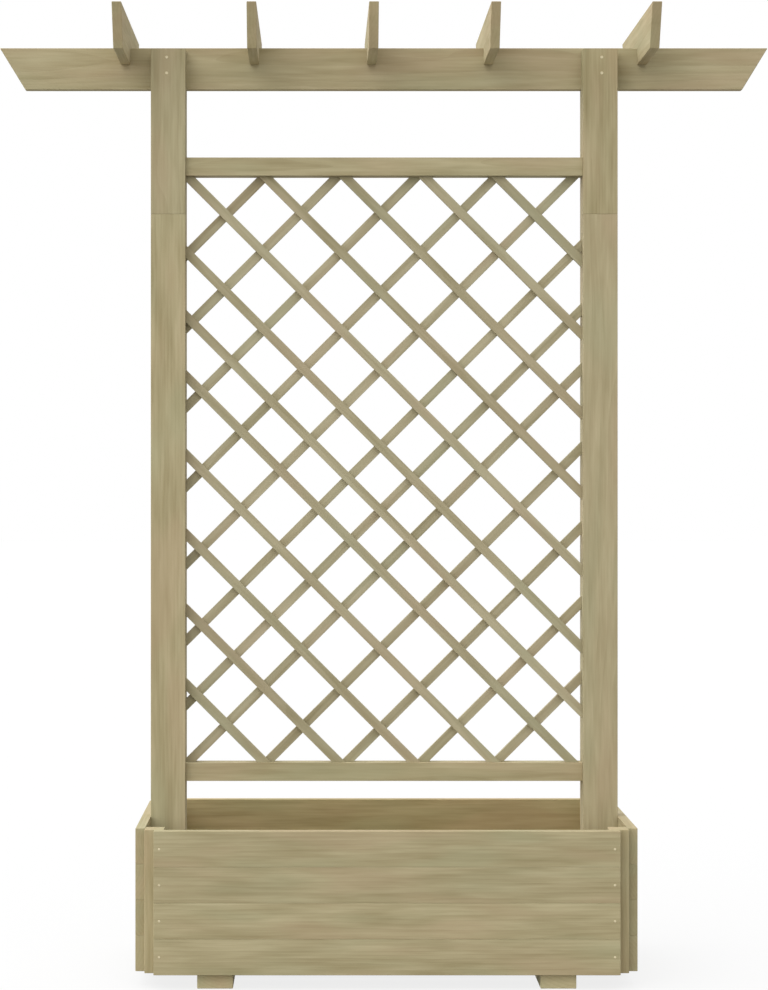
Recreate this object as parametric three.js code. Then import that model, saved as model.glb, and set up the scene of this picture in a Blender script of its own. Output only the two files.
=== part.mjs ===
// A pine planter with a trellis: a boarded box on two runners, two lapped posts standing inside it, a diagonal
// lattice between the posts, and a pergola top of one beam and five rafters.
// Millimetres. +Z is up, the front faces -Y and +X is to the right, seen from the front.
// The origin is on the ground, under the middle of the box.

import * as THREE from 'three';

// Box
const BOX_INNER_WIDTH = 946; // between the side boards
const BOX_DEPTH = 468; // over the front and back boards
const BOARD_WIDTH = 70;
const BOARD_THICKNESS = 19;
const BOARD_ROWS = 4;
const CLEAT_SIDE = 38;
const CORNER_STEP = 19; // how far each board stops short of the corner cleat's outer face
const GROUND_GAP = 30; // under the lowest boards

// Runners and the floor on them
const RUNNER_WIDTH = 70;
const RUNNER_HEIGHT = 45;
const RUNNER_INSET = 103; // from the side boards
const DECK_THICKNESS = 19;
const DECK_STRIPS = 5;
const DECK_CLEARANCE = 1; // to the walls and the cleats
const DRAIN_GAP = 12; // between the deck's strips
const DRAIN_END = 72; // from the deck's end to where a drain gap starts

// Posts
const POST_WIDTH = 70;
const POST_DEPTH = 57; // three boards of 19, the rearmost of them let in for the beam
const POST_SETBACK = 195; // from the box's front to the post's front
const POST_BELOW_BEAM_TOP = 7;
const LAP_LENGTH = 100;
const LAP_BELOW_BEAM = 258; // from the beam's underside to the seam on the post's front

// Trellis
const RAIL_SIDE = 37;
const RAIL_ABOVE_BOX = 71;
const TRELLIS_OPENING_HEIGHT = 1192; // between the rails
const SLAT_WIDTH = 18.5;
const SLAT_THICKNESS = 10;
const LATTICE_SHIFT = -7; // from the middle to the upright line that each pair of slats crosses on
const SLAT_RISE = 0.6762; // over the opening's width, as a share of its height: 45 degrees here
const CROSSING_PLACES = [ // up that line from the opening's middle, as a share of its height
  0.6988, 0.5747, 0.4388, 0.3029, 0.1703, 0.0394, -0.0705, -0.1728, -0.307, -0.443, -0.5713, -0.6988,
];

// Pergola top
const TOP_TIMBER_HEIGHT = 85; // beam and rafters
const TOP_TIMBER_THICKNESS = 19;
const BEAM_ABOVE_RAIL = 142;
const BEAM_OVERHANG = 311; // past the post's outer face, along the beam's top
const BEAM_END_SLANT = 52; // how much shorter each end is along the bottom
const RAFTER_NOTCH = 34;
const RAFTER_OVERHANG = 222; // past the beam's front face, along the rafter's top
const RAFTER_TIP_SLANT = 39;
const END_RAFTER_GAP = 44.5; // from the post's outer face
const INNER_RAFTER_PLACES = [-0.655, -0.062, 0.529]; // from the middle, as a share of the way to the posts

// Levels
const RIM = GROUND_GAP + BOARD_ROWS * BOARD_WIDTH;
const DECK_TOP = RUNNER_HEIGHT + DECK_THICKNESS;
const OPENING_BOTTOM = RIM + RAIL_ABOVE_BOX + RAIL_SIDE;
const OPENING_TOP = OPENING_BOTTOM + TRELLIS_OPENING_HEIGHT;
const BEAM_BOTTOM = OPENING_TOP + RAIL_SIDE + BEAM_ABOVE_RAIL;
const BEAM_TOP = BEAM_BOTTOM + TOP_TIMBER_HEIGHT;
const RAFTER_BOTTOM = BEAM_TOP - RAFTER_NOTCH;
const RAFTER_TOP = RAFTER_BOTTOM + TOP_TIMBER_HEIGHT;
const LAP_BOTTOM = BEAM_BOTTOM - LAP_BELOW_BEAM;
const LAP_TOP = LAP_BOTTOM + LAP_LENGTH;
const POST_TOP = BEAM_TOP - POST_BELOW_BEAM_TOP;

// Distances from the middle, to the right and to the back
const CLEAT_OUTER_X = BOX_INNER_WIDTH / 2;
const BOARD_FACE_Y = BOX_DEPTH / 2;
const CLEAT_OUTER_Y = BOARD_FACE_Y - BOARD_THICKNESS;
const POST_INNER_X = CLEAT_OUTER_X - POST_WIDTH;
const POST_FRONT = POST_SETBACK - BOARD_FACE_Y;
const POST_BACK = POST_FRONT + POST_DEPTH;
const POST_MIDDLE = POST_FRONT + POST_DEPTH / 2;
const BEAM_FRONT = POST_BACK - TOP_TIMBER_THICKNESS;
const BEAM_TIP = CLEAT_OUTER_X + BEAM_OVERHANG;

const SIDES = { left: -1, right: 1 };
const ENDS = { front: -1, back: 1 };

const planter = new THREE.Group();

const pine = (color) => new THREE.MeshStandardMaterial({ color, roughness: 0.85, metalness: 0 });

const span = (a, b) => [Math.min(a, b), Math.max(a, b)];
const around = (middle, size) => [middle - size / 2, middle + size / 2];

function add(parent, name, geometry, material) {
  const mesh = new THREE.Mesh(geometry, material);
  mesh.name = name;
  parent.add(mesh);
  return mesh;
}

// A board given by its [from, to] along each axis.
function addBoard(parent, name, material, x, y, z) {
  const [width, depth, height] = [x, y, z].map(([from, to]) => to - from);
  const mesh = add(parent, name, new THREE.BoxGeometry(width, depth, height), material);
  mesh.position.set(x[0] + width / 2, y[0] + depth / 2, z[0] + height / 2);
}

function extrude(points, depth, holes = []) {
  const shape = new THREE.Shape(points.map(([u, v]) => new THREE.Vector2(u, v)));
  for (const hole of holes) {
    shape.holes.push(new THREE.Path(hole.map(([u, v]) => new THREE.Vector2(u, v))));
  }
  return new THREE.ExtrudeGeometry(shape, { depth, bevelEnabled: false });
}

const AXIS_X = new THREE.Vector3(1, 0, 0);
const AXIS_Y = new THREE.Vector3(0, 1, 0);
const AXIS_Z = new THREE.Vector3(0, 0, 1);

// An outline of [x, z] points, extruded forwards from y = 0.
function frontOutline(points, depth) {
  const turn = new THREE.Matrix4().makeBasis(AXIS_X, AXIS_Z, AXIS_Y.clone().negate());
  return extrude(points, depth).applyMatrix4(turn);
}

// An outline of [y, z] points, extruded to the right from x = 0.
function sideOutline(points, depth) {
  const turn = new THREE.Matrix4().makeBasis(AXIS_Y, AXIS_Z, AXIS_X);
  return extrude(points, depth).applyMatrix4(turn);
}

// Box: boards on four corner cleats. Boards are numbered from the ground up.
function addBox(parent) {
  const timber = pine(0xb0a583);
  const box = new THREE.Group();
  parent.add(box);
  for (const [side, x] of Object.entries(SIDES)) {
    for (const [end, y] of Object.entries(ENDS)) {
      addBoard(
        box, `cleat_${end}_${side}`, timber,
        span(x * CLEAT_OUTER_X, x * (CLEAT_OUTER_X - CLEAT_SIDE)),
        span(y * CLEAT_OUTER_Y, y * (CLEAT_OUTER_Y - CLEAT_SIDE)),
        [GROUND_GAP, RIM],
      );
    }
  }
  const longBoard = 2 * (CLEAT_OUTER_X - CORNER_STEP);
  const shortBoard = 2 * (CLEAT_OUTER_Y - CORNER_STEP);
  for (let row = 0; row < BOARD_ROWS; row += 1) {
    const bottom = GROUND_GAP + row * BOARD_WIDTH;
    const height = [bottom, bottom + BOARD_WIDTH];
    for (const [end, y] of Object.entries(ENDS)) {
      const depth = span(y * BOARD_FACE_Y, y * CLEAT_OUTER_Y);
      addBoard(box, `${end}_board_${row + 1}`, timber, around(0, longBoard), depth, height);
    }
    for (const [side, x] of Object.entries(SIDES)) {
      const width = span(x * CLEAT_OUTER_X, x * (CLEAT_OUTER_X + BOARD_THICKNESS));
      addBoard(box, `${side}_board_${row + 1}`, timber, width, around(0, shortBoard), height);
    }
  }
}

// Two runners between the front and back boards, and the deck on them.
function addBase(parent) {
  const timber = pine(0x9c8f6c);
  const base = new THREE.Group();
  parent.add(base);
  for (const [side, x] of Object.entries(SIDES)) {
    addBoard(
      base, `runner_${side}`, timber,
      span(x * (CLEAT_OUTER_X - RUNNER_INSET), x * (CLEAT_OUTER_X - RUNNER_INSET - RUNNER_WIDTH)),
      around(0, 2 * CLEAT_OUTER_Y), [0, RUNNER_HEIGHT],
    );
  }
  const deck = add(base, 'floor_deck', deckGeometry(), timber);
  deck.position.z = RUNNER_HEIGHT;
}

// Strips along the box with drain gaps between them, joined at both ends, with the corners cut out for the cleats.
function deckGeometry() {
  const endX = CLEAT_OUTER_X - DECK_CLEARANCE;
  const endY = CLEAT_OUTER_Y - DECK_CLEARANCE;
  const cornerX = endX - CLEAT_SIDE;
  const cornerY = endY - CLEAT_SIDE;
  const outline = [
    [-cornerX, -endY], [cornerX, -endY], [cornerX, -cornerY], [endX, -cornerY],
    [endX, cornerY], [cornerX, cornerY], [cornerX, endY], [-cornerX, endY],
    [-cornerX, cornerY], [-endX, cornerY], [-endX, -cornerY], [-cornerX, -cornerY],
  ];
  const strip = (2 * endY - (DECK_STRIPS - 1) * DRAIN_GAP) / DECK_STRIPS;
  const gapEnd = endX - DRAIN_END;
  const gaps = [];
  for (let i = 1; i < DECK_STRIPS; i += 1) {
    const back = -endY + i * (strip + DRAIN_GAP);
    const front = back - DRAIN_GAP;
    gaps.push([[-gapEnd, front], [-gapEnd, back], [gapEnd, back], [gapEnd, front]]);
  }
  return extrude(outline, DECK_THICKNESS, gaps);
}

// Posts: the lower section's back half runs up behind the upper one, which is rebated for the beam.
function addPosts(parent) {
  const timber = pine(0xa89c78);
  const lower = [
    [POST_FRONT, DECK_TOP], [POST_BACK, DECK_TOP], [POST_BACK, LAP_TOP],
    [POST_MIDDLE, LAP_TOP], [POST_MIDDLE, LAP_BOTTOM], [POST_FRONT, LAP_BOTTOM],
  ];
  const upper = [
    [POST_FRONT, LAP_BOTTOM], [POST_MIDDLE, LAP_BOTTOM], [POST_MIDDLE, LAP_TOP], [POST_BACK, LAP_TOP],
    [POST_BACK, BEAM_BOTTOM], [BEAM_FRONT, BEAM_BOTTOM], [BEAM_FRONT, POST_TOP], [POST_FRONT, POST_TOP],
  ];
  for (const [side, x] of Object.entries(SIDES)) {
    const post = new THREE.Group();
    [post.position.x] = span(x * POST_INNER_X, x * CLEAT_OUTER_X);
    parent.add(post);
    add(post, `post_lower_${side}`, sideOutline(lower, POST_WIDTH), timber);
    add(post, `post_upper_${side}`, sideOutline(upper, POST_WIDTH), timber);
  }
}

// The part of a convex outline where sign * coordinate is at most sign * limit.
function clip(points, index, sign, limit) {
  const inside = (point) => sign * point[index] <= sign * limit;
  const kept = [];
  points.forEach((point, i) => {
    const next = points[(i + 1) % points.length];
    if (inside(point)) kept.push(point);
    if (inside(point) !== inside(next)) {
      const share = (limit - point[index]) / (next[index] - point[index]);
      const cut = point.map((value, j) => value + share * (next[j] - value));
      cut[index] = limit;
      kept.push(cut);
    }
  });
  return kept;
}

// A slat through (x, z), rising to the right for turn 1 and falling for -1, cut to the opening.
function slatOutline(x, z, turn) {
  const reach = 2 * POST_INNER_X;
  const slope = SLAT_RISE * TRELLIS_OPENING_HEIGHT / reach;
  const half = SLAT_WIDTH / 2 * Math.hypot(1, slope);
  const rise = turn * slope * reach;
  const strip = [
    [x - reach, z - rise - half], [x + reach, z + rise - half],
    [x + reach, z + rise + half], [x - reach, z - rise + half],
  ];
  const limits = [[0, 1, POST_INNER_X], [0, -1, -POST_INNER_X], [1, 1, OPENING_TOP], [1, -1, OPENING_BOTTOM]];
  return limits.reduce((points, limit) => clip(points, ...limit), strip);
}

// Trellis: two rails in the middle of the posts' depth, and two layers of slats in the middle of theirs.
function addTrellis(parent) {
  const trellis = new THREE.Group();
  parent.add(trellis);
  const railTimber = pine(0xa89c78);
  const opening = around(0, 2 * POST_INNER_X);
  const railDepth = around(POST_MIDDLE, RAIL_SIDE);
  addBoard(trellis, 'rail_bottom', railTimber, opening, railDepth, [OPENING_BOTTOM - RAIL_SIDE, OPENING_BOTTOM]);
  addBoard(trellis, 'rail_top', railTimber, opening, railDepth, [OPENING_TOP, OPENING_TOP + RAIL_SIDE]);

  const slatTimber = pine(0xb3a680);
  const layers = new THREE.Group();
  layers.position.y = POST_MIDDLE;
  trellis.add(layers);
  CROSSING_PLACES.forEach((place, i) => {
    const level = OPENING_BOTTOM + (place + 0.5) * TRELLIS_OPENING_HEIGHT;
    const number = String(i + 1).padStart(2, '0');
    const falling = frontOutline(slatOutline(LATTICE_SHIFT, level, -1), SLAT_THICKNESS);
    const rising = frontOutline(slatOutline(LATTICE_SHIFT, level, 1), SLAT_THICKNESS);
    add(layers, `slat_falling_${number}`, falling, slatTimber);
    add(layers, `slat_rising_${number}`, rising, slatTimber).position.y = SLAT_THICKNESS;
  });
}

// Pergola top: the beam in the posts' rebates, and the rafters notched over it.
function addPergola(parent) {
  const timber = pine(0xb0a583);
  const pergola = new THREE.Group();
  pergola.position.y = POST_BACK;
  parent.add(pergola);
  const beamOutline = [
    [BEAM_END_SLANT - BEAM_TIP, BEAM_BOTTOM], [BEAM_TIP - BEAM_END_SLANT, BEAM_BOTTOM],
    [BEAM_TIP, BEAM_TOP], [-BEAM_TIP, BEAM_TOP],
  ];
  add(pergola, 'beam', frontOutline(beamOutline, TOP_TIMBER_THICKNESS), timber);

  const frontTip = -TOP_TIMBER_THICKNESS - RAFTER_OVERHANG;
  const backTip = BOARD_FACE_Y - POST_BACK; // in line with the box's back
  const rafter = sideOutline([
    [frontTip, RAFTER_TOP], [frontTip + RAFTER_TIP_SLANT, RAFTER_BOTTOM],
    [-TOP_TIMBER_THICKNESS, RAFTER_BOTTOM], [-TOP_TIMBER_THICKNESS, BEAM_TOP],
    [0, BEAM_TOP], [0, RAFTER_BOTTOM],
    [backTip - RAFTER_TIP_SLANT, RAFTER_BOTTOM], [backTip, RAFTER_TOP],
  ], TOP_TIMBER_THICKNESS);
  const endPlace = CLEAT_OUTER_X + END_RAFTER_GAP + TOP_TIMBER_THICKNESS / 2;
  const innerPlaces = INNER_RAFTER_PLACES.map((share) => share * POST_INNER_X);
  [-endPlace, ...innerPlaces, endPlace].forEach((place, i) => {
    add(pergola, `rafter_${i + 1}`, rafter, timber).position.x = place - TOP_TIMBER_THICKNESS / 2;
  });
}

addBox(planter);
addBase(planter);
addPosts(planter);
addTrellis(planter);
addPergola(planter);

export default planter;
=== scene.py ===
# %% [markdown]
# # A pine planter with a trellis
# The object is a garden planter: a box of pine boards on two runners, two posts that stand in it, a
# diagonal lattice between them and a small pergola on top. Its solids come from CAD, at their real size and
# place, so this lesson builds only what CAD leaves out: the wood's surface, the softened edges, the boards
# that CAD joined into one, the screw heads, and the light. Everything is in metres, with the front towards
# -Y and +Z up.

# %% Load the frame
import math

import bmesh
import bpy
import numpy as np
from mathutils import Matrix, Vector


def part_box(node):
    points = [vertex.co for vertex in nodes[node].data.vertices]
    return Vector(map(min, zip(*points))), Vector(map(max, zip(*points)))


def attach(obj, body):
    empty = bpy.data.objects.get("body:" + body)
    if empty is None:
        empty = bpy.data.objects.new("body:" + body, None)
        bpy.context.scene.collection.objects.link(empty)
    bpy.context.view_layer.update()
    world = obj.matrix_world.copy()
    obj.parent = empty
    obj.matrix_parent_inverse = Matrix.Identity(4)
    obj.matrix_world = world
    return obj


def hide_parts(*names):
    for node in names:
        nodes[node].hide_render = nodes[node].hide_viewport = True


MM = 0.001
X, Y, Z = Vector((1, 0, 0)), Vector((0, 1, 0)), Vector((0, 0, 1))

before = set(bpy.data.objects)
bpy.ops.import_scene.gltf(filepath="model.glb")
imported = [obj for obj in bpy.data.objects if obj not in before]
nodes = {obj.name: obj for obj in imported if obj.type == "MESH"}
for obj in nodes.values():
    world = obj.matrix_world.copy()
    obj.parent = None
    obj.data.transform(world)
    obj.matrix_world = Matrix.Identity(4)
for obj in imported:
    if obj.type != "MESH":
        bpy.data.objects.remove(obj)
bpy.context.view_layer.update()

# %% [markdown]
# ## Camera
# The photograph was taken straight on: every upright stays upright, and lines that run back meet in one
# point left of the middle. A turned camera would make the uprights lean. So the camera looks straight along
# +Y from where that point is, and the lens is shifted until the picture is framed like the photograph.

# %% Camera
PICTURE = (768, 990)
MEETING_PIXEL = (319.1, 475.1)  # where lines that run straight back meet, from the picture's top left
FOCAL_PIXELS = 2342
EYE = Vector((-0.132, -4.784, 1.002))  # how far off: from the box's rear rim against its front rim
SENSOR = 36  # mm along the picture's long side


def new_object(name, data):
    made = bpy.data.objects.new(name, data)
    bpy.context.scene.collection.objects.link(made)
    return made


lens = bpy.data.cameras.new("camera")
lens.sensor_width = SENSOR
lens.lens = FOCAL_PIXELS / max(PICTURE) * SENSOR
lens.shift_x = (PICTURE[0] / 2 - MEETING_PIXEL[0]) / max(PICTURE)
lens.shift_y = (MEETING_PIXEL[1] - PICTURE[1] / 2) / max(PICTURE)
camera = new_object("camera", lens)
camera.location = EYE
camera.rotation_euler = (math.radians(90), 0, 0)
bpy.context.scene.camera = camera
print(f"lens {lens.lens:.1f} mm, shifted by {lens.shift_x:.3f}, {lens.shift_y:.3f}")

# %% [markdown]
# ## Nodes by one helper
# Every material and world below is a graph of nodes. One small function adds a node, sets its options, and
# fills each of its sockets with a value or with a link from another node. Colours are picked on a screen,
# where they are sRGB hex values, but the renderer works in linear light, so one function turns them.

# %% A node, a colour and an empty material
def add_node(tree, kind, sockets=None, **options):
    made = tree.nodes.new(kind)
    for option, value in options.items():
        setattr(made, option, value)
    for socket, value in (sockets or {}).items():
        if isinstance(value, bpy.types.NodeSocket):
            tree.links.new(value, made.inputs[socket])
        else:
            made.inputs[socket].default_value = value
    return made


def linear(hex_colour):
    channels = [int(hex_colour[i : i + 2], 16) / 255 for i in (1, 3, 5)]
    return [c / 12.92 if c <= 0.04045 else ((c + 0.055) / 1.055) ** 2.4 for c in channels] + [1]


def empty_material(name):
    made = bpy.data.materials.new(name)
    made.use_nodes = True
    made.node_tree.nodes.clear()
    return made


print("mid grey in linear light:", round(linear("#808080")[0], 3))

# %% [markdown]
# ## Light and floor
# The photograph has even studio light: tops are brightest, left faces brighter than right ones, undersides
# dark, and corners gently shaded, but no shadow has an edge. A lamp alone would cut shadows. So most of the
# light comes from the sky, which brightens smoothly towards the top and the left, and one wide sun from
# there helps it. The levels are set so that a board facing the camera renders about as its colour is
# written.
#
# A sky that gains along an axis gives two thirds of that gain to a face that looks along it. A wall sees
# only the upper half of the sky, so it gets one third, and the floor lights its lower half.
#
# The background is white. Only what the camera sees is turned white, in the sky and on the floor, so that it
# throws no extra light on the wood.

# %% Light levels
# Each level says how bright white paint would be in that light alone, against white on the screen.
KEY_LEVEL = Vector((-0.12, -0.06, 0.16))  # the sun's part, on faces that look along X, Y and Z
SKY_LEVEL = 1.11  # at the horizon, in front
SKY_SLOPE = Vector((-0.88, 0.0, 0.78))  # how much the sky gains along each axis
FLOOR_BOUNCE = "#8a8884"  # what the floor throws back at the wood
SUN_DISC = 60  # degrees across: wide, so that shadows have soft edges

top_level = SKY_LEVEL + SKY_SLOPE.z * 2 / 3 + KEY_LEVEL.z
upwards_on_a_wall = SKY_SLOPE.z * 2 / (3 * math.pi)
side_level = (SKY_LEVEL + linear(FLOOR_BOUNCE)[0] * top_level) / 2 + upwards_on_a_wall
left_level, right_level = side_level - SKY_SLOPE.x / 3 - KEY_LEVEL.x, side_level + SKY_SLOPE.x / 3
print(f"top {top_level:.2f}, front {side_level - KEY_LEVEL.y:.2f}")
print(f"left {left_level:.2f}, right {right_level:.2f}")


# %% Sun and sky
def white_for_camera(tree):
    """1 where a ray shows the background itself, and 0 where it lights the object."""
    ray = add_node(tree, "ShaderNodeLightPath").outputs
    seen = ray["Is Camera Ray"]
    for other in ("Is Glossy Ray", "Is Transmission Ray"):
        seen = add_node(tree, "ShaderNodeMath", {0: seen, 1: ray[other]}, operation="MAXIMUM").outputs[0]
    return seen


sun = bpy.data.lights.new("key", "SUN")
sun.energy = math.pi * KEY_LEVEL.length
sun.angle = math.radians(SUN_DISC)
key = new_object("key", sun)
key.rotation_mode = "QUATERNION"
key.rotation_quaternion = KEY_LEVEL.to_track_quat("Z", "Y")

world = bpy.data.worlds.new("studio")
bpy.context.scene.world = world
world.use_nodes = True
sky = world.node_tree
sky.nodes.clear()
direction = add_node(sky, "ShaderNodeTexCoord").outputs["Generated"]
gain = add_node(
    sky, "ShaderNodeVectorMath", {0: direction, 1: SKY_SLOPE}, operation="DOT_PRODUCT"
).outputs["Value"]
light = add_node(sky, "ShaderNodeMath", {0: gain, 1: SKY_LEVEL}, operation="ADD").outputs[0]
light = add_node(sky, "ShaderNodeMath", {0: light, 1: 0.0}, operation="MAXIMUM").outputs[0]
level = add_node(sky, "ShaderNodeMix", {0: white_for_camera(sky), 2: light, 3: 1.0}, data_type="FLOAT")
white = add_node(sky, "ShaderNodeBackground", {"Color": (1, 1, 1, 1), "Strength": level.outputs[0]})
add_node(sky, "ShaderNodeOutputWorld", {"Surface": white.outputs[0]})
bpy.context.scene.view_settings.view_transform = "Standard"
print(f"sun strength {sun.energy:.2f}, sky {SKY_LEVEL} plus {SKY_SLOPE[:]} along the axes")

# %% Floor
FLOOR_SIDE = 60.0
LIT_FLOOR = 1.02  # how bright the floor's paint is to the camera in full light: just past white
SHADOW_SHARE = 0.18  # how strongly the floor shows the object's shadow to the camera

floor_paint = empty_material("matt studio floor")
tree = floor_paint.node_tree
seen = white_for_camera(tree)
pale = [LIT_FLOOR / top_level] * 3 + [1]
coat = add_node(tree, "ShaderNodeMix", {0: seen, 6: linear(FLOOR_BOUNCE), 7: pale}, data_type="RGBA")
matt = add_node(tree, "ShaderNodeBsdfDiffuse", {"Color": coat.outputs[2]})
glow = add_node(tree, "ShaderNodeEmission", {"Color": (1, 1, 1, 1), "Strength": 1.0})
share = add_node(tree, "ShaderNodeMath", {0: seen, 1: 1 - SHADOW_SHARE}, operation="MULTIPLY")
mixed = add_node(tree, "ShaderNodeMixShader", {0: share.outputs[0], 1: matt.outputs[0], 2: glow.outputs[0]})
add_node(tree, "ShaderNodeOutputMaterial", {"Surface": mixed.outputs[0]})

half = FLOOR_SIDE / 2
corners = [(-half, -half, 0), (half, -half, 0), (half, half, 0), (-half, half, 0)]
mesh = bpy.data.meshes.new("floor")
mesh.from_pydata(corners, [], [(0, 1, 2, 3)])
mesh.materials.append(floor_paint)
floor = new_object("floor", mesh)
print("floor", FLOOR_SIDE, "m square")

# %% [markdown]
# ## Pressure-impregnated pine
# Every piece is planed pine that was soaked in a copper preservative under pressure. That gives the eye a
# dull olive-beige, greener where the wood took more of the salts and pinker where it took less, with soft
# yearly rings, fine fibres and a knot here and there. The heartwood near the trunk's middle is a little
# darker than the sapwood outside it.
#
# A picture of wood would show its seams and repeat. Instead the material works out where each point lay in
# the tree: how far along the trunk, and how far from its middle. Yearly rings are then tubes round the
# middle. They show as long flames and stripes on a board's face and as arcs on its end, with no seam at the
# edges. Each piece says which way its fibres run and where in the trunk it was sawn, in properties of its
# own, so one material serves them all.

# %% Pine: where a point lay in the tree
pine = empty_material("pressure-impregnated pine")
wood = pine.node_tree
point = add_node(wood, "ShaderNodeTexCoord").outputs["Object"]
told = {
    name: add_node(
        wood, "ShaderNodeAttribute", attribute_type="OBJECT", attribute_name=name
    ).outputs["Vector"]
    for name in ("fibres_along", "fibres_across", "place_in_trunk", "tone_and_painted_light")
}
along, across = told["fibres_along"], told["fibres_across"]
through = add_node(wood, "ShaderNodeVectorMath", {0: along, 1: across}, operation="CROSS_PRODUCT").outputs[0]
parts = [
    add_node(wood, "ShaderNodeVectorMath", {0: point, 1: way}, operation="DOT_PRODUCT").outputs["Value"]
    for way in (along, across, through)
]
sawn = add_node(wood, "ShaderNodeCombineXYZ", {0: parts[0], 1: parts[1], 2: parts[2]})
trunk = add_node(
    wood, "ShaderNodeVectorMath", {0: sawn.outputs[0], 1: told["place_in_trunk"]}, operation="ADD"
).outputs[0]
print("pine reads", list(told))

# %% [markdown]
# Fibres and streaks are noise that is stretched along the trunk. Each pattern's scale is worked out from how
# long and how wide a fibre bundle or a streak is. Real fibres are finer than a pixel of the picture, so they
# are drawn as coarse as they need to be to show.
#
# They show as lines on a face that runs along them. On an end they are cut across, and a sawn and soaked end
# looks smooth from a distance, so there both patterns are calmed.

# %% Pine: patterns stretched along the fibres
WAVER = 14 * MM  # how far a yearly ring strays from a true tube
END_FACING = 0.5  # share of a face's direction that lies along the fibres, where an end begins
END_CALM = 0.3  # how much of the fibres and streaks is left on an end
PATTERNS = {  # length and width of one blotch, detail, roughness, and a shift that keeps patterns apart
    "waver": (700 * MM, 120 * MM, 2.0, 0.5, 0.0),
    "fibre": (90 * MM, 4.5 * MM, 2.0, 0.6, 3.1),
    "streak": (170 * MM, 22 * MM, 2.0, 0.55, 7.7),
    "patch": (260 * MM, 60 * MM, 1.0, 0.5, 13.3),
}

pattern = {}
for name, (long, wide, detail, roughness, shift) in PATTERNS.items():
    scaled = add_node(
        wood, "ShaderNodeVectorMath",
        {0: trunk, 1: (1 / long, 1 / wide, 1 / wide), 2: (shift, shift, shift)}, operation="MULTIPLY_ADD",
    )
    pattern[name] = add_node(
        wood, "ShaderNodeTexNoise",
        {"Vector": scaled.outputs[0], "Scale": 1.0, "Detail": detail, "Roughness": roughness},
    ).outputs

facing = add_node(wood, "ShaderNodeTexCoord").outputs["Normal"]
endwise = add_node(
    wood, "ShaderNodeVectorMath", {0: facing, 1: along}, operation="DOT_PRODUCT"
).outputs["Value"]
endwise = add_node(wood, "ShaderNodeMath", {0: endwise}, operation="ABSOLUTE").outputs[0]
calm = add_node(
    wood, "ShaderNodeMapRange",
    {"Value": endwise, "From Min": END_FACING, "From Max": 1.0, "To Min": 1.0, "To Max": END_CALM},
).outputs[0]
shown = {}
for name in ("fibre", "streak"):
    strength = add_node(wood, "ShaderNodeMath", {0: pattern[name]["Fac"], 1: 0.5}, operation="SUBTRACT")
    shown[name] = add_node(
        wood, "ShaderNodeMath", {0: strength.outputs[0], 1: calm, 2: 0.5}, operation="MULTIPLY_ADD"
    ).outputs[0]
print("patterns", list(pattern))

# %% [markdown]
# Knots are where branches left the trunk. A Voronoi pattern scatters their places, a few of which get a
# knot. It is measured back in metres, so a knot stays nearly round although the places are spread along the
# fibres. Near one, the rings are pushed outwards, which bends the stripes round it as in real wood.

# %% Pine: knots
KNOT_SPACING = (620 * MM, 74 * MM)  # along and across the fibres
KNOT_SCATTER = 0.8  # 0 sets the places in a grid, and 1 scatters them fully
KNOT_CHANCE = 0.1  # of those places that have a knot
KNOT_RADII = (2.25 * MM, 5.4 * MM)  # smallest and largest
KNOT_OVAL = 1.25  # length along the fibres against width
KNOT_EDGE = (0.75, 1.15)  # in radii from its middle: dark up to the first, and gone at the second
KNOT_REACH = 5.0  # in radii: where the rings start to bend
KNOT_PUSH = 11 * MM  # how far they bend at the knot

scaled = add_node(
    wood, "ShaderNodeVectorMath", {0: trunk, 1: (1 / KNOT_SPACING[0], 1 / KNOT_SPACING[1], 0)},
    operation="MULTIPLY",
).outputs[0]
places = add_node(
    wood, "ShaderNodeTexVoronoi", {"Vector": scaled, "Scale": 1.0, "Randomness": KNOT_SCATTER},
    voronoi_dimensions="2D",
).outputs
offset = add_node(wood, "ShaderNodeVectorMath", {0: scaled, 1: places["Position"]}, operation="SUBTRACT")
offset = add_node(
    wood, "ShaderNodeVectorMath",
    {0: offset.outputs[0], 1: (KNOT_SPACING[0] / KNOT_OVAL, KNOT_SPACING[1], 0)}, operation="MULTIPLY",
)
from_knot = add_node(wood, "ShaderNodeVectorMath", {0: offset.outputs[0]}, operation="LENGTH")
luck = add_node(wood, "ShaderNodeSeparateColor", {0: places["Color"]}).outputs
present = add_node(wood, "ShaderNodeMath", {0: luck[0], 1: KNOT_CHANCE}, operation="LESS_THAN").outputs[0]
size = add_node(
    wood, "ShaderNodeMapRange", {"Value": luck[1], "To Min": KNOT_RADII[0], "To Max": KNOT_RADII[1]}
)
near = add_node(
    wood, "ShaderNodeMath", {0: from_knot.outputs["Value"], 1: size.outputs[0]}, operation="DIVIDE"
).outputs[0]
heart = add_node(
    wood, "ShaderNodeMapRange",
    {"Value": near, "From Min": KNOT_EDGE[1], "From Max": KNOT_EDGE[0], "To Min": 0.0, "To Max": 1.0},
    interpolation_type="SMOOTHSTEP",
)
push = add_node(
    wood, "ShaderNodeMapRange",
    {"Value": near, "From Min": KNOT_REACH, "From Max": 0.0, "To Min": 0.0, "To Max": KNOT_PUSH},
    interpolation_type="SMOOTHSTEP",
)
knot, pushed = (
    add_node(wood, "ShaderNodeMath", {0: effect.outputs[0], 1: present}, operation="MULTIPLY").outputs[0]
    for effect in (heart, push)
)
print("knots from", 2 * KNOT_RADII[0] / MM, "to", 2 * KNOT_RADII[1] / MM, "mm wide")

# %% [markdown]
# A year's ring starts pale and ends in a narrow dark band, the late wood, and the next one starts pale again
# at once. The fraction of a year, raised to a power, has just that shape.

# %% Pine: yearly rings
RING = 6.5 * MM  # a year's growth. Slow pine has finer rings, which would not show in the picture
LATE_WOOD_POWER = 2.2  # a higher power gives a narrower band

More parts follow.
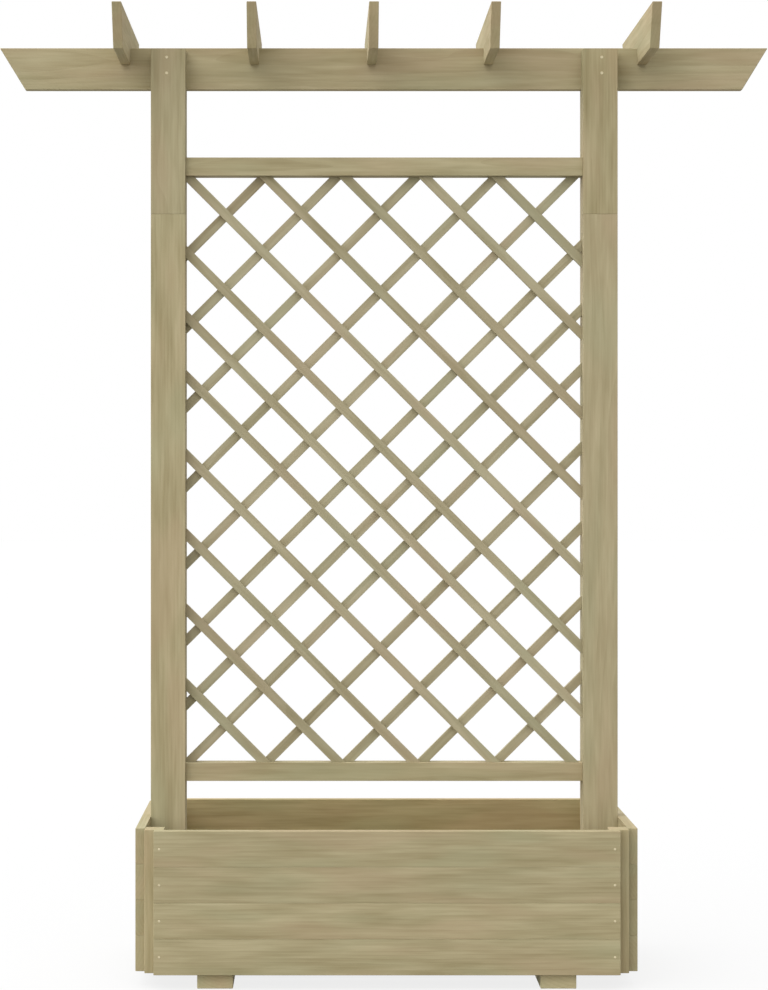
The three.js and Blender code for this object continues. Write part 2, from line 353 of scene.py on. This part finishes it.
centred = add_node(
    wood, "ShaderNodeVectorMath", {0: pattern["waver"]["Color"], 1: (0.5, 0.5, 0.5)}, operation="SUBTRACT"
)
bent = add_node(
    wood, "ShaderNodeVectorMath", {0: centred.outputs[0], 1: (0, 2 * WAVER, 2 * WAVER), 2: trunk},
    operation="MULTIPLY_ADD",
)
flat = add_node(wood, "ShaderNodeVectorMath", {0: bent.outputs[0], 1: (0, 1, 1)}, operation="MULTIPLY")
radius = add_node(wood, "ShaderNodeVectorMath", {0: flat.outputs[0]}, operation="LENGTH").outputs["Value"]
radius = add_node(wood, "ShaderNodeMath", {0: radius, 1: pushed}, operation="ADD").outputs[0]
years = add_node(wood, "ShaderNodeMath", {0: radius, 1: RING}, operation="DIVIDE").outputs[0]
season = add_node(wood, "ShaderNodeMath", {0: years}, operation="FRACT").outputs[0]
late_wood = add_node(
    wood, "ShaderNodeMath", {0: season, 1: LATE_WOOD_POWER}, operation="POWER"
).outputs[0]
print("a ring every", RING / MM, "mm")

# %% [markdown]
# The colour goes from pale to dark wood by the sum of four shares: heartwood, late wood, streaks and fibres.
# Wide patches then lean to green or pink, and each piece's own tone (on the cleats and runners also painted
# light) and the knots come last. Noise seldom leaves the range from 0.3 to 0.7, so that range is spread over
# the whole share.

# %% Pine: colour
PALE, DARK = "#b8ad8a", "#8f835e"
GREEN, PINK = "#a0a07d", "#b09a7b"
KNOT = "#7d6b48"
HEARTWOOD = (45 * MM, 95 * MM)  # from the trunk's middle: all heartwood up to the first, none at the second
HEARTWOOD_SHARE, SAPWOOD_SHARE = 0.22, 0.03
LATE_WOOD_SHARE = 0.16
NOISE_SHARES = {"streak": 0.46, "fibre": 0.2}
NOISE_RANGE = (0.3, 0.7)
PATCHES = {GREEN: (0.52, 0.68), PINK: (0.47, 0.33)}  # where in the noise the colour starts and is full
PATCH_SHARE = 0.32
KNOT_DEPTH = 0.75

heartwood = add_node(
    wood, "ShaderNodeMapRange",
    {
        "Value": radius, "From Min": HEARTWOOD[1], "From Max": HEARTWOOD[0],
        "To Min": SAPWOOD_SHARE, "To Max": HEARTWOOD_SHARE,
    },
)
darkness = add_node(
    wood, "ShaderNodeMath", {0: late_wood, 1: LATE_WOOD_SHARE, 2: heartwood.outputs[0]},
    operation="MULTIPLY_ADD",
).outputs[0]
for name, amount in NOISE_SHARES.items():
    spread = add_node(
        wood, "ShaderNodeMapRange",
        {
            "Value": shown[name], "From Min": NOISE_RANGE[0], "From Max": NOISE_RANGE[1],
            "To Min": 0.0, "To Max": amount,
        },
    ).outputs[0]
    darkness = add_node(wood, "ShaderNodeMath", {0: darkness, 1: spread}, operation="ADD").outputs[0]
body = add_node(
    wood, "ShaderNodeMix", {0: darkness, 6: linear(PALE), 7: linear(DARK)}, data_type="RGBA",
    clamp_factor=True,
).outputs[2]
for colour, (start, full) in PATCHES.items():
    amount = add_node(
        wood, "ShaderNodeMapRange",
        {
            "Value": pattern["patch"]["Fac"], "From Min": start, "From Max": full,
            "To Min": 0.0, "To Max": PATCH_SHARE,
        },
    ).outputs[0]
    body = add_node(
        wood, "ShaderNodeMix", {0: amount, 6: body, 7: linear(colour)}, data_type="RGBA"
    ).outputs[2]
# Each piece's tone multiplies the colour, and on the cleats and runners it is also painted light.
body = add_node(wood, "ShaderNodeVectorMath", {0: body, 1: told["tone_and_painted_light"]}, operation="MULTIPLY").outputs[0]
amount = add_node(wood, "ShaderNodeMath", {0: knot, 1: KNOT_DEPTH}, operation="MULTIPLY").outputs[0]
body = add_node(wood, "ShaderNodeMix", {0: amount, 6: body, 7: linear(KNOT)}, data_type="RGBA").outputs[2]
print("colours", PALE, DARK, GREEN, PINK, KNOT)

# %% Pine: gloss and relief
# Planed wood is matt, and duller where its fibres stand open. Late wood stands proud after planing.
ROUGHNESS = (0.72, 0.92)
FIBRE_RANGE = (0.25, 0.75)  # of the fibres' noise, spread over the roughness
WOOD_IOR = 1.45
RELIEF, RELIEF_STRENGTH = 0.25 * MM, 0.45

height = add_node(wood, "ShaderNodeMath", {0: shown["fibre"], 1: late_wood}, operation="ADD")
relief = add_node(
    wood, "ShaderNodeBump", {"Height": height.outputs[0], "Strength": RELIEF_STRENGTH, "Distance": RELIEF}
)
rough = add_node(
    wood, "ShaderNodeMapRange",
    {
        "Value": shown["fibre"], "From Min": FIBRE_RANGE[0], "From Max": FIBRE_RANGE[1],
        "To Min": ROUGHNESS[0], "To Max": ROUGHNESS[1],
    },
)
shader = add_node(
    wood, "ShaderNodeBsdfPrincipled",
    {"Base Color": body, "Roughness": rough.outputs[0], "Normal": relief.outputs[0], "IOR": WOOD_IOR},
)
add_node(wood, "ShaderNodeOutputMaterial", {"Surface": shader.outputs[0]})
print(len(wood.nodes), "nodes in", pine.name)

# %% [markdown]
# ## Which way the fibres run
# A sawmill cuts every piece with the fibres along its length. The names of the solids say what each one is,
# so the fibres follow from the name. The place in the trunk is drawn at random, from a fixed seed: a few
# centimetres beside the trunk's middle, so that most faces show flames and few show straight stripes. In the
# photograph the front boards are a little paler in their upper half than in their lower one, least so the
# lowest board. So here they are all laid the same way, with the edge nearer the bark upwards.
#
# Pieces come from different logs, so they differ in tone. Each kind has a tone of its own, matched to the
# photograph, which is multiplied into its colour. The cleats and the runners are made paler than their wood:
# that is painted light, standing in for light on their faces, which lie in shade behind and under the
# boards.
#
# Planed timber has its sharp edges taken off. CAD's solids are sharp, so a Bevel modifier rounds them. Their
# meshes are loose triangles, so a Weld modifier joins them and a Decimate modifier turns flat areas into
# single faces.

# %% Fibres, tones and edges
RISING, FALLING = (X + Z).normalized(), (X - Z).normalized()
FIBRES = {  # start of the name: which way its fibres run, and which way its width runs
    "front_board": (X, Z), "back_board": (X, Z), "left_board": (Y, Z), "right_board": (Y, Z),
    "cleat": (Z, X), "runner": (Y, X), "deck": (X, Y), "post": (Z, X), "rail": (X, Z), "beam": (X, Z),
    "rafter": (Y, Z), "slat_rising": (RISING, FALLING), "slat_falling": (FALLING, RISING),
}
# The cleats' and runners' paler tones are painted light, lifting their shaded faces; the other tones are the
# wood's own.
TONES_AND_PAINTED_LIGHT = {  # in linear light, against a plain piece
    "back_board": (1.12, 1.06, 0.96), "cleat": (1.08, 1.06, 1.05), "runner": (1.5, 1.5, 1.5),
    "post_lower_left": (1.05, 1.045, 1.055), "post_lower_right": (0.96, 0.95, 0.965),
    "post_upper_left": (0.94, 0.95, 0.96), "beam": (0.96, 0.95, 0.955), "rafter": (1.01, 0.99, 0.965),
    "slat": (0.94, 0.965, 1.04),
}
SHADE_SPREAD = 0.025  # how much single pieces differ in brightness
ARRISES = {  # how far the edges are rounded
    "slat": 0.5 * MM, "rail": 0.5 * MM, "left_board": 0.8 * MM, "right_board": 0.8 * MM,
    "front_board": 0.9 * MM, "post": 0.9 * MM,
}
ARRIS = 1.2 * MM  # on all other pieces
SAME_SPOT = 0.01 * MM  # corners closer than this are one corner
FLAT_WITHIN, SHARP_FROM = math.radians(1), math.radians(20)  # angles between neighbouring faces
ROUNDING_STEPS = 2
TRUNK_LENGTH = 40  # metres that the pieces are spread along, so that they seldom show the same wood
MIDDLE_BESIDE, MIDDLE_BEHIND = 45 * MM, (35 * MM, 120 * MM)  # from the piece to the trunk's middle
BARK_UPWARDS = {"front_board": (45 * MM, 38 * MM)}  # the same two distances, below and behind
dice = np.random.default_rng(11)


def for_kind(piece, table, default=None):
    return next((value for start, value in table.items() if piece.name.startswith(start)), default)


def saw(piece):
    """Gives a piece its pine, its place in the trunk and its softened edges."""
    along, across = for_kind(piece, FIBRES)
    behind = dice.choice((-1, 1)) * dice.uniform(*MIDDLE_BEHIND)
    start, beside = dice.uniform(0, TRUNK_LENGTH), dice.uniform(-1, 1) * MIDDLE_BESIDE
    beside, behind = for_kind(piece, BARK_UPWARDS, (beside, behind))
    middle = sum((Vector(corner) for corner in piece.bound_box), Vector()) / 8
    own = (0, middle.dot(across), middle.dot(along.cross(across)))
    piece["fibres_along"], piece["fibres_across"] = list(along), list(across)
    piece["place_in_trunk"] = [a - b for a, b in zip((start, beside, behind), own)]
    shade = 1 + dice.uniform(-1, 1) * SHADE_SPREAD
    piece["tone_and_painted_light"] = [float(shade * channel) for channel in for_kind(piece, TONES_AND_PAINTED_LIGHT, (1, 1, 1))]
    piece.data.materials.clear()
    piece.data.materials.append(pine)
    join = piece.modifiers.new("join the triangles", "WELD")
    join.merge_threshold = SAME_SPOT
    flat = piece.modifiers.new("one face for each flat area", "DECIMATE")
    flat.decimate_type, flat.angle_limit = "DISSOLVE", FLAT_WITHIN
    soft = piece.modifiers.new("softened edges", "BEVEL")
    soft.width, soft.segments = for_kind(piece, ARRISES, ARRIS), ROUNDING_STEPS
    soft.limit_method, soft.angle_limit = "ANGLE", SHARP_FROM
    soft.harden_normals = True


print(len(FIBRES), "kinds of piece")

# %% [markdown]
# ## Side boards and deck boards
# CAD has one solid for each side board and one for the whole floor deck, which is all that weight and
# collision need. The photograph shows a joint across the right side wall's top, beside the post, so the side
# boards are made as two boards that meet there. On the left no joint can be made out, so there it is nearly
# shut. The floor doesn't show, and is taken to be five loose boards, notched round the corner cleats. Each
# board is made here on its own, in its solid's place: an outline seen from above, raised to the board's
# thickness.

# %% A board from its outline
made_boards = []


def board(name, outline, bottom, top, stands_for):
    shape = bmesh.new()
    face = shape.faces.new([shape.verts.new((x, y, bottom)) for x, y in outline])
    raised = bmesh.ops.extrude_face_region(shape, geom=[face])["geom"]
    corners = [item for item in raised if isinstance(item, bmesh.types.BMVert)]
    bmesh.ops.translate(shape, vec=(0, 0, top - bottom), verts=corners)
    bmesh.ops.recalc_face_normals(shape, faces=shape.faces)
    mesh = bpy.data.meshes.new(name)
    shape.to_mesh(mesh)
    shape.free()
    made = new_object(name, mesh)
    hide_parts(stands_for)
    made_boards.append(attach(made, "root"))


def rectangle(low_x, low_y, high_x, high_y):
    return [(low_x, low_y), (high_x, low_y), (high_x, high_y), (low_x, high_y)]


# %% Side boards, in two lengths
JOINT_BEHIND_POST_FRONT = 29 * MM
JOINT_GAP = {"left": 0.4 * MM, "right": 2.5 * MM}

for node in sorted(n for n in nodes if n.startswith(("left_board", "right_board"))):
    low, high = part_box(node)
    side = node.split("_")[0]
    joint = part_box(f"post_lower_{side}")[0].y + JOINT_BEHIND_POST_FRONT
    gap = JOINT_GAP[side] / 2
    board(f"{node}_fore", rectangle(low.x, low.y, high.x, joint - gap), low.z, high.z, node)
    board(f"{node}_aft", rectangle(low.x, joint + gap, high.x, high.y), low.z, high.z, node)
print(len(made_boards), "side boards, with a joint at", round(joint / MM), "mm")

# %% Deck boards
DECK_BOARDS, DRAIN_GAP = 5, 12 * MM
CLEAT_CLEARANCE = 1 * MM

low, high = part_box("floor_deck")
cleat_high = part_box("cleat_front_left")[1]
notch_x, notch_y = cleat_high.x + CLEAT_CLEARANCE, cleat_high.y + CLEAT_CLEARANCE
width = (high.y - low.y - (DECK_BOARDS - 1) * DRAIN_GAP) / DECK_BOARDS
for i in range(DECK_BOARDS):
    near = low.y + i * (width + DRAIN_GAP)
    far = near + width
    outline = rectangle(low.x, near, high.x, far)
    if i == 0:
        outline = [
            (notch_x, near), (-notch_x, near), (-notch_x, notch_y), (high.x, notch_y),
            (high.x, far), (low.x, far), (low.x, notch_y), (notch_x, notch_y),
        ]
    if i == DECK_BOARDS - 1:
        outline = [
            (low.x, near), (high.x, near), (high.x, -notch_y), (-notch_x, -notch_y),
            (-notch_x, far), (notch_x, far), (notch_x, -notch_y), (low.x, -notch_y),
        ]
    board(f"deck_board_{i + 1}", outline, low.z, high.z, "floor_deck")
print(f"deck boards of {width / MM:.0f} mm")

# %% Saw every piece
timber = [nodes[n] for n in sorted(nodes) if not nodes[n].hide_render] + made_boards
for piece in timber:
    saw(piece)
print(len(timber), "pieces of pine")

# %% [markdown]
# ## Screws
# The photograph shows small pale screw heads: two on each post, into the beam, and one at each end of each
# front board, into the corner cleats. The outsides of the back and of the short sides don't show. They are
# screwed in the same way here, the sides to the posts as well.
#
# One head could be copied by hand dozens of times. Geometry Nodes make it once and put it on every point
# instead, so its size is changed in one place, and each copy is turned a little differently, as a
# screwdriver leaves them. The head is a low dome with a cross recess. The cross is two bars, cut out one
# after the other by the exact boolean, because bars that overlap in one cut leave open edges.

# %% Screw steel
# Zinc-plated steel with a yellow passivation gives the eye a small pale brassy glint, duller where it was
# driven.
PLATING, WORN_PLATING = "#e6dcbe", "#cbbf9b"
PLATING_ROUGHNESS = (0.3, 0.5)
SMUDGE = 2.5 * MM
DENT, DENT_STRENGTH = 0.1 * MM, 0.3

screw_steel = empty_material("yellow zinc-plated steel")
tree = screw_steel.node_tree
point = add_node(tree, "ShaderNodeTexCoord").outputs["Object"]
smudge = add_node(
    tree, "ShaderNodeTexNoise", {"Vector": point, "Scale": 1 / SMUDGE, "Detail": 2.0, "Roughness": 0.5}
).outputs["Fac"]
plating = add_node(
    tree, "ShaderNodeMix", {0: smudge, 6: linear(PLATING), 7: linear(WORN_PLATING)}, data_type="RGBA"
)
dull = add_node(
    tree, "ShaderNodeMapRange",
    {
        "Value": smudge, "From Min": NOISE_RANGE[0], "From Max": NOISE_RANGE[1],
        "To Min": PLATING_ROUGHNESS[0], "To Max": PLATING_ROUGHNESS[1],
    },
)
dents = add_node(tree, "ShaderNodeBump", {"Height": smudge, "Strength": DENT_STRENGTH, "Distance": DENT})
shader = add_node(
    tree, "ShaderNodeBsdfPrincipled",
    {
        "Base Color": plating.outputs[2], "Metallic": 1.0, "Roughness": dull.outputs[0],
        "Normal": dents.outputs[0],
    },
)
add_node(tree, "ShaderNodeOutputMaterial", {"Surface": shader.outputs[0]})
print(screw_steel.name)

# %% Where the screws are
BOARD_SCREW_INSET = 11 * MM  # from the board's end
POST_SCREW_INSET = 32 * MM  # from the post's outer face
POST_SCREW_DROPS = (18 * MM, 50 * MM)  # from the post's top down, both into the beam

screw_points = {"posts": [], "front": [], "back": [], "left": [], "right": []}
for post in ("post_upper_left", "post_upper_right"):
    low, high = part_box(post)
    middle = low.x + POST_SCREW_INSET if low.x < 0 else high.x - POST_SCREW_INSET
    screw_points["posts"] += [(middle, low.y, high.z - drop) for drop in POST_SCREW_DROPS]
rows = sum(n.startswith("front_board") for n in nodes)
for n in range(1, rows + 1):
    for wall in ("front", "back"):
        low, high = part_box(f"{wall}_board_{n}")
        face = low.y if wall == "front" else high.y
        ends = (low.x + BOARD_SCREW_INSET, high.x - BOARD_SCREW_INSET)
        screw_points[wall] += [(end, face, (low.z + high.z) / 2) for end in ends]
    for wall in ("left", "right"):
        low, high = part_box(f"{wall}_board_{n}")
        face = low.x if wall == "left" else high.x
        lengths = ((low.y, joint), (joint, high.y))
        ends = [end for a, b in lengths for end in (a + BOARD_SCREW_INSET, b - BOARD_SCREW_INSET)]
        screw_points[wall] += [(face, end, (low.z + high.z) / 2) for end in ends]
print({wall: len(points) for wall, points in screw_points.items()})

# %% Screws by Geometry Nodes
HEAD_SIZES = ("Head Diameter", "Head Height", "Recess Width", "Recess Length")
POST_HEAD = dict(zip(HEAD_SIZES, (6.5 * MM, 0.9 * MM, 1.0 * MM, 3.4 * MM)))
BOARD_HEAD = dict(zip(HEAD_SIZES, (4.8 * MM, 0.6 * MM, 0.8 * MM, 2.6 * MM)))
CROWN = 0.75  # the dome's top against its foot
HEAD_SIDES = 24
QUARTER_TURN = math.radians(90)  # stands a head up on a wall. A cross also looks the same after it
FACING = {"posts": 0, "front": 0, "right": 90, "back": 180, "left": -90}  # degrees, seen from above

driver = bpy.data.node_groups.new("screws", "GeometryNodeTree")
driver.interface.new_socket("Geometry", in_out="INPUT", socket_type="NodeSocketGeometry")
driver.interface.new_socket("Geometry", in_out="OUTPUT", socket_type="NodeSocketGeometry")
kinds = {**dict.fromkeys((*HEAD_SIZES, "Facing"), "Float"), "Seed": "Int", "Steel": "Material"}
asked = {
    name: driver.interface.new_socket(name, in_out="INPUT", socket_type=f"NodeSocket{kind}").identifier
    for name, kind in kinds.items()
}
given = add_node(driver, "NodeGroupInput").outputs
foot = add_node(
    driver, "ShaderNodeMath", {0: given["Head Diameter"], 1: 0.5}, operation="MULTIPLY"
).outputs[0]
crown = add_node(driver, "ShaderNodeMath", {0: foot, 1: CROWN}, operation="MULTIPLY").outputs[0]
head = add_node(
    driver, "GeometryNodeMeshCone",
    {"Vertices": HEAD_SIDES, "Radius Top": crown, "Radius Bottom": foot, "Depth": given["Head Height"]},
).outputs["Mesh"]
centre = add_node(driver, "ShaderNodeCombineXYZ", {2: given["Head Height"]}).outputs[0]
for first, second in (("Recess Length", "Recess Width"), ("Recess Width", "Recess Length")):
    bar = add_node(
        driver, "ShaderNodeCombineXYZ", {0: given[first], 1: given[second], 2: given["Head Height"]}
    )
    cube = add_node(driver, "GeometryNodeMeshCube", {"Size": bar.outputs[0]})
    cutter = add_node(driver, "GeometryNodeTransform", {"Geometry": cube.outputs[0], "Translation": centre})
    head = add_node(
        driver, "GeometryNodeMeshBoolean", {"Mesh 1": head, "Mesh 2": cutter.outputs[0]},
        operation="DIFFERENCE", solver="EXACT",
    ).outputs[0]
outwards = add_node(driver, "ShaderNodeCombineXYZ", {0: QUARTER_TURN, 2: given["Facing"]})
placed = add_node(
    driver, "GeometryNodeInstanceOnPoints",
    {"Points": given["Geometry"], "Instance": head, "Rotation": outwards.outputs[0]},
)
turn = add_node(
    driver, "FunctionNodeRandomValue", {3: QUARTER_TURN, "Seed": given["Seed"]}, data_type="FLOAT"
)
about = add_node(driver, "ShaderNodeCombineXYZ", {2: turn.outputs[1]})
turned = add_node(
    driver, "GeometryNodeRotateInstances", {"Instances": placed.outputs[0], "Rotation": about.outputs[0]}
)
solid = add_node(driver, "GeometryNodeRealizeInstances", {"Geometry": turned.outputs[0]})
finished = add_node(
    driver, "GeometryNodeSetMaterial", {"Geometry": solid.outputs[0], "Material": given["Steel"]}
)
add_node(driver, "NodeGroupOutput", {"Geometry": finished.outputs[0]})
print(list(asked))

# %% Turn the screws into plain meshes
for seed, (wall, points) in enumerate(screw_points.items()):
    spots = bpy.data.meshes.new("screw places")
    spots.from_pydata(points, [], [])
    screws = new_object(f"screws_{wall}", spots)
    driving = screws.modifiers.new("screws", "NODES")
    driving.node_group = driver
    wanted = dict(POST_HEAD if wall == "posts" else BOARD_HEAD)
    wanted.update({"Facing": math.radians(FACING[wall]), "Seed": seed, "Steel": screw_steel})
    for name, value in wanted.items():
        driving[asked[name]] = value
    shaped = screws.evaluated_get(bpy.context.evaluated_depsgraph_get())
    screws.data = bpy.data.meshes.new_from_object(shaped)
    screws.modifiers.clear()
    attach(screws, "root")
    print(len(screws.data.polygons), "faces on", len(points), screws.name)
